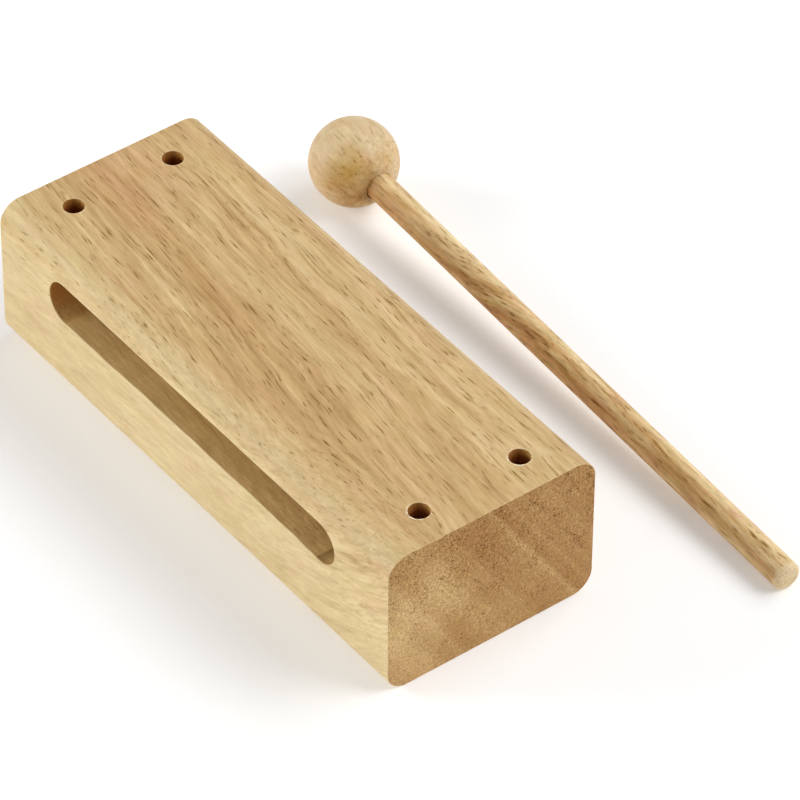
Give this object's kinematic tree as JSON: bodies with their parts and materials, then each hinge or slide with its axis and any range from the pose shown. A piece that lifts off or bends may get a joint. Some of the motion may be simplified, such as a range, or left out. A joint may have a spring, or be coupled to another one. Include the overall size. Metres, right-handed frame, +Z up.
{
  "type": "wood block",
  "caption": "Slotted hardwood wood block with rounded long edges and drilled through-holes, and its ball-headed dowel beater lying beside it.",
  "frame": {"origin": "middle of the block's flat underside", "axes": "+X along the block's length and roughly along the beater, -Y out of the side that the sound slot opens on, +Z up from the underside to the playing face"},
  "size_m": [0.2013, 0.1201, 0.0447],
  "materials": {
    "block_wood": "satin clear lacquer over light tan hardwood with fine dark pores",
    "head_wood": "satin clear lacquer, turned ball",
    "stick_wood": "satin clear lacquer, drawn dowel"
  },
  "bodies": {
    "block": {"block_body": "block_wood"},
    "beater": {"beater_head": "head_wood", "beater_stick": "stick_wood"}
  },
  "joints": [
    {"name": "beater_lift", "type": "slide", "parent": "block", "child": "beater", "axis": [0, 0, 1], "range_m": [0, 0.1]}
  ]
}
